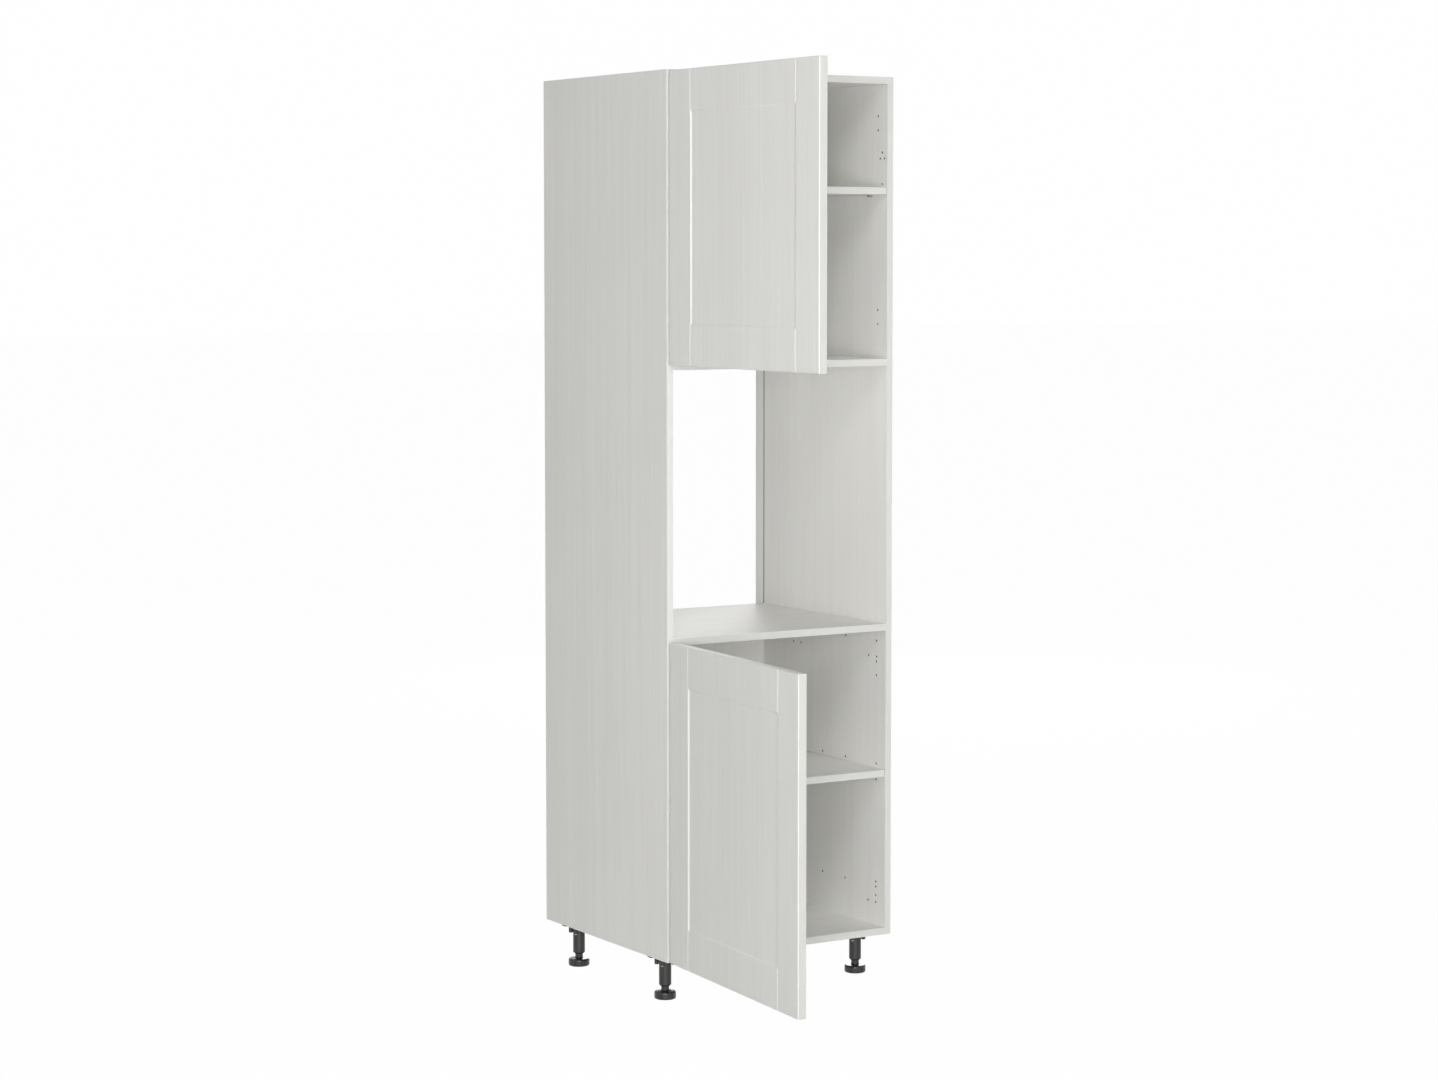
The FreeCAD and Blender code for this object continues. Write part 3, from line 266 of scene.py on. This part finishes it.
def grained_color(shader, along, dark, pale):
    # the colour of a printed wood grain, and its streaks as a value of 0 to 1
    place = shader.place()
    lengthwise = shader.stretched(place, GRAIN_STRETCH[along])
    fine = shader.noise(lengthwise, FINE_SCALE, detail=2.0, roughness=0.6)
    band = shader.noise(lengthwise, BAND_SCALE, detail=3.0, roughness=0.55, distortion=0.15)
    broad = shader.noise(lengthwise, BROAD_SCALE)
    streaks = shader.weighted((fine, FINE_SHARE), (band, BAND_SHARE), (broad, BROAD_SHARE))
    color = shader.mix_color(shader.between(streaks, *GRAIN_CONTRAST), dark, pale)
    tone = shader.between(shader.noise(place, CLOUD_SCALE), *NOISE_RANGE, *CLOUD_TONES)
    clouded = shader.add("ShaderNodeVectorMath", operation="SCALE")
    shader.put(clouded.inputs[0], color)
    shader.put(clouded.inputs["Scale"], tone)
    return clouded.outputs[0], streaks


def chipboard_color(shader):
    # pressed wood chips as they show on an uncovered edge and in drilled holes, with painted
    # shade that greys them down inside holes and grooves, and a second value for each chip's
    # height
    place = shader.place()
    tint, height = shader.cell_colors(shader.stretched(place, CHIP_FLATNESS), CHIP_SCALE)
    color = shader.mix_color(tint, CHIP_DARK, CHIP_PALE)
    flakes = shader.noise(place, FLAKE_SCALE, detail=3.0, roughness=0.7)
    dark = shader.between(flakes, *FLAKE_RANGE, 0.0, FLAKE_SHARE)
    color = shader.mix_color(dark, color, FLAKE_COLOR)
    # painted shade: the chips turn dark grey down inside holes and grooves
    return shader.mix_color(shader.painted_hole_shade(HOLE_SHADE_REACH), color, HOLE_SHADE_COLOR), height


def board_material(name, along, covered):
    # decor on the faces across the covered axis, raw chipboard on all others
    shader = Shader(name)
    decor, streaks = grained_color(shader, along, BOARD_DARK, BOARD_PALE)
    raw, chips = chipboard_color(shader)
    bare = shader.between(shader.facing(AXES[covered]), *BARE_TURN)
    worn = shader.math("MULTIPLY", shader.edge_mask(radius=0.0006), BOARD_WORN_SHARE)
    decor = shader.mix_color(worn, decor, BOARD_WORN)
    color = shader.mix_color(bare, decor, raw)
    smooth = shader.between(streaks, *NOISE_RANGE, *BOARD_ROUGHNESS)
    rough = shader.weighted((smooth, 1.0), (bare, RAW_EXTRA_ROUGHNESS))
    chips = shader.math("MULTIPLY", chips, bare)
    relief = shader.weighted((streaks, GRAIN_RELIEF), (chips, CHIP_RELIEF))
    normal = shader.bump(relief, distance=0.00018, strength=0.35, radius=0.0004)
    return shader.surface(color, rough, normal, Specular_IOR_Level=DECOR_SPECULAR)


def covered_material(name, along, dark, pale, roughness, worn_share, radius, narrow_shade_color=None):
    # a facing that wraps the whole piece; the narrow faces across y may get a darker colour,
    # painted shade that tones down the strong front light on them
    shader = Shader(name)
    color, streaks = grained_color(shader, along, dark, pale)
    if narrow_shade_color:
        # painted shade: the narrow faces across y turn darker
        narrow = shader.between(shader.facing(AXES["y"]), *NARROW_SHADE_TURN)
        color = shader.mix_color(narrow, color, narrow_shade_color)
    worn = shader.math("MULTIPLY", shader.edge_mask(radius=0.0008), worn_share)
    color = shader.mix_color(worn, color, COVER_WORN)
    rough = shader.between(streaks, *NOISE_RANGE, *roughness)
    normal = shader.bump(streaks, distance=0.00015, strength=0.3, radius=radius)
    return shader.surface(color, rough, normal, Specular_IOR_Level=DECOR_SPECULAR)


def band_material(name, along):
    return covered_material(name, along, BAND_DARK, BAND_PALE, BAND_ROUGHNESS,
                            BAND_WORN_SHARE, radius=0.0005)


def metal_material(name, dark, pale, roughness):
    # fine rolled lines, soft blotches and bright rubbed edges
    shader = Shader(name)
    place = shader.place()
    lines = shader.noise(shader.stretched(place, GRAIN_STRETCH["z"]), METAL_LINE_SCALE)
    blotch = shader.noise(place, METAL_BLOTCH_SCALE, detail=4.0, roughness=0.6)
    color = shader.mix_color(shader.between(blotch, *NOISE_RANGE), dark, pale)
    rubbed = shader.edge_mask(radius=0.0003, spread=0.3)
    worn = shader.math("MULTIPLY", rubbed, METAL_WORN_SHARE)
    color = shader.mix_color(worn, color, METAL_WORN)
    relief = shader.weighted((lines, 0.5), (blotch, 0.5))
    rough = shader.between(relief, *NOISE_RANGE, *roughness)
    normal = shader.bump(relief, distance=0.00005, strength=0.25, radius=0.00025)
    return shader.surface(color, rough, normal, Metallic=1.0)


def plastic_material(name, dark, pale, roughness):
    # moulded plastic: fine pebble, faint flow marks and paler rubbed edges
    shader = Shader(name)
    place = shader.place()
    pebble = shader.noise(place, PEBBLE_SCALE, roughness=0.6)
    flow = shader.noise(shader.stretched(place, FLOW_STRETCH), FLOW_SCALE, detail=3.0)
    color = shader.mix_color(shader.between(flow, *NOISE_RANGE), dark, pale)
    rubbed = shader.edge_mask(radius=0.0008, spread=0.3)
    worn = shader.math("MULTIPLY", rubbed, PLASTIC_WORN_SHARE)
    color = shader.mix_color(worn, color, PLASTIC_WORN)
    relief = shader.weighted((pebble, 0.4), (flow, 0.6))
    rough = shader.between(relief, *NOISE_RANGE, *roughness)
    normal = shader.bump(relief, distance=0.00012, strength=0.3, radius=0.0005)
    return shader.surface(color, rough, normal)


def beech_material(name):
    shader = Shader(name)
    color, streaks = grained_color(shader, "x", rgb(186, 140, 92), rgb(214, 176, 126))
    normal = shader.bump(streaks, distance=0.0003, strength=0.4)
    return shader.surface(color, BEECH_ROUGHNESS, normal)


def rubber_material(name):
    # soft pads, hazy and slightly translucent
    shader = Shader(name)
    haze = shader.noise(shader.place(), RUBBER_HAZE_SCALE, detail=3.0)
    color = shader.mix_color(shader.between(haze, *NOISE_RANGE),
                             rgb(196, 197, 194), rgb(222, 222, 218))
    rough = shader.between(haze, *NOISE_RANGE, *RUBBER_ROUGHNESS)
    normal = shader.bump(haze, distance=0.00008, strength=0.3, radius=0.0003)
    return shader.surface(color, rough, normal, Subsurface_Weight=0.2)


# Which piece has which material

HINGES = ("upper_door_top", "upper_door_bottom", "lower_door_top", "lower_door_bottom")
CORNERS = ("front_left", "front_right", "rear_left", "rear_right")


def dress(material, names):
    for name in names:
        slots = nodes[name].data.materials
        if not slots:
            slots.append(material)
        for index in range(len(slots)):
            slots[index] = material


def dress_boards():
    dress(board_material("upright_board", along="z", covered="x"),
          ["left_side_panel", "right_side_panel"])
    dress(board_material("level_board", along="x", covered="z"),
          ["bottom_panel", "niche_floor_panel", "niche_top_panel", "top_panel",
           "lower_shelf", "upper_shelf"])
    dress(board_material("back_board", along="z", covered="y"),
          ["lower_back_panel", "upper_back_panel"])
    dress(band_material("upright_edging", along="z"), ["side_edge_bands"])
    dress(band_material("level_edging", along="x"), ["panel_edge_bands", "shelf_edge_bands"])
    dress(covered_material("door_foil", "z", DOOR_DARK, DOOR_PALE, BOARD_ROUGHNESS,
                           DOOR_WORN_SHARE, radius=0.0006, narrow_shade_color=DOOR_EDGE_PAINTED_SHADE),
          ["upper_door", "lower_door"])


# name, dark and pale colour, lowest and highest roughness, and pieces
METALS = (
    ("nickel_plate", rgb(176, 174, 169), rgb(198, 196, 191), (0.2, 0.36),
     [f"{hinge}_hinge_{piece}" for hinge in HINGES for piece in ("plate", "arm", "cup")]
     + ["lower_shelf_supports", "upper_shelf_supports"]),
    ("link_plate", rgb(160, 158, 154), rgb(184, 182, 178), (0.25, 0.4),
     [f"{hinge}_hinge_link" for hinge in HINGES]),
    ("zinc_plate", rgb(168, 170, 170), rgb(192, 194, 193), (0.3, 0.45),
     ["cam_bolts", "hinge_plate_screws", "hinge_arm_screws", "leg_pins",
      "upper_door_cup_screws", "lower_door_cup_screws"]),
    ("cast_zinc", rgb(140, 140, 138), rgb(168, 168, 165), (0.45, 0.6), ["cam_locks"]),
    ("ground_steel", rgb(150, 150, 150), rgb(180, 180, 180), (0.22, 0.34),
     ["upper_door_arm_pins", "lower_door_arm_pins",
      "upper_door_cup_pins", "lower_door_cup_pins"]),
)


def dress_fittings():
    for name, dark, pale, roughness, names in METALS:
        dress(metal_material(name, dark, pale, roughness), names)
    dress(beech_material("beech"), ["dowels"])
    dress(rubber_material("bumper_rubber"), ["upper_door_bumpers", "lower_door_bumpers"])
    dress(plastic_material("leg_plastic", rgb(34, 34, 34), rgb(44, 44, 43), (0.34, 0.46)),
          [f"{corner}_leg" for corner in CORNERS])
    dress(plastic_material("foot_plastic", rgb(32, 32, 32), rgb(42, 42, 41), (0.22, 0.34)),
          [f"{corner}_foot" for corner in CORNERS])


# Floor, backdrop and lamps

WHITE = (1.0, 1.0, 1.0, 1.0)
FLOOR_COLOR = (0.92, 0.92, 0.92, 1.0)
FLOOR_WHITE_SHARE = 0.985
FLOOR_HALF = 60.0
BACKDROP_WHITE = 0.995
ROOM_LIGHT = 0.16

# name, place, target, width and height, and watts
LAMPS = (
    ("key_softbox", (-3.2, -5.0, 1.5), (0.0, 0.0, 1.1), (1.5, 1.5), 107.0),
    ("far_left_softbox", (-7.2, -9.0, 1.2), (0.0, 0.0, 1.0), (3.0, 3.0), 180.0),
    ("low_softbox", (-2.0, -5.0, 0.6), (0.0, 0.0, 0.6), (2.0, 0.8), 60.0),
    ("overhead_softbox", (-2.5, -5.0, 6.0), (0.0, 0.0, 1.0), (3.0, 3.0), 174.0),
    ("rear_softbox", (3.6, 5.0, 1.8), (0.0, 0.3, 1.1), (2.5, 2.5), 100.0),
)


def floor_material(name):
    # diffuse, but nearly white where it is seen, so that only its soft shadow shows
    shader = Shader(name)
    diffuse = shader.fill(shader.add("ShaderNodeBsdfDiffuse"), Color=FLOOR_COLOR)
    glow = shader.fill(shader.add("ShaderNodeEmission"), Color=WHITE, Strength=1.0)
    share = shader.math("MULTIPLY", shader.seen(), FLOOR_WHITE_SHARE)
    shader.finish(shader.mix_shaders(share, diffuse.outputs[0], glow.outputs[0]))
    return shader.material


def make_floor():
    corners = [(x * FLOOR_HALF, y * FLOOR_HALF, 0.0)
               for x, y in ((-1, -1), (1, -1), (1, 1), (-1, 1))]
    mesh = bpy.data.meshes.new("floor")
    mesh.from_pydata([Vector(corner) + ORIGIN for corner in corners], [], [(0, 1, 2, 3)])
    mesh.materials.append(floor_material("floor_white"))
    floor = add_object("floor", mesh)


def make_world():
    # a white backdrop where it is seen, and a faint even light on things
    world = bpy.data.worlds.new("studio")
    world.use_nodes = True
    sky = Nodes(world.node_tree, "ShaderNodeOutputWorld")
    lit, white = [sky.fill(sky.add("ShaderNodeBackground"), Color=WHITE, Strength=strength)
                  for strength in (ROOM_LIGHT, BACKDROP_WHITE)]
    sky.finish(sky.mix_shaders(sky.seen(), lit.outputs[0], white.outputs[0]))
    scene.world = world


def make_lamp(name, place, target, size, power):
    data = bpy.data.lights.new(name, "AREA")
    data.shape = "RECTANGLE"
    data.size, data.size_y = size
    data.energy = power
    lamp = add_object(name, data, ORIGIN + Vector(place))
    aim = Vector(target) - Vector(place)
    lamp.rotation_euler = aim.to_track_quat("-Z", "Y").to_euler()


make_camera()
make_floor()
make_world()
for lamp in LAMPS:
    make_lamp(*lamp)
dress_boards()
dress_fittings()

scene.view_settings.view_transform = "Standard"
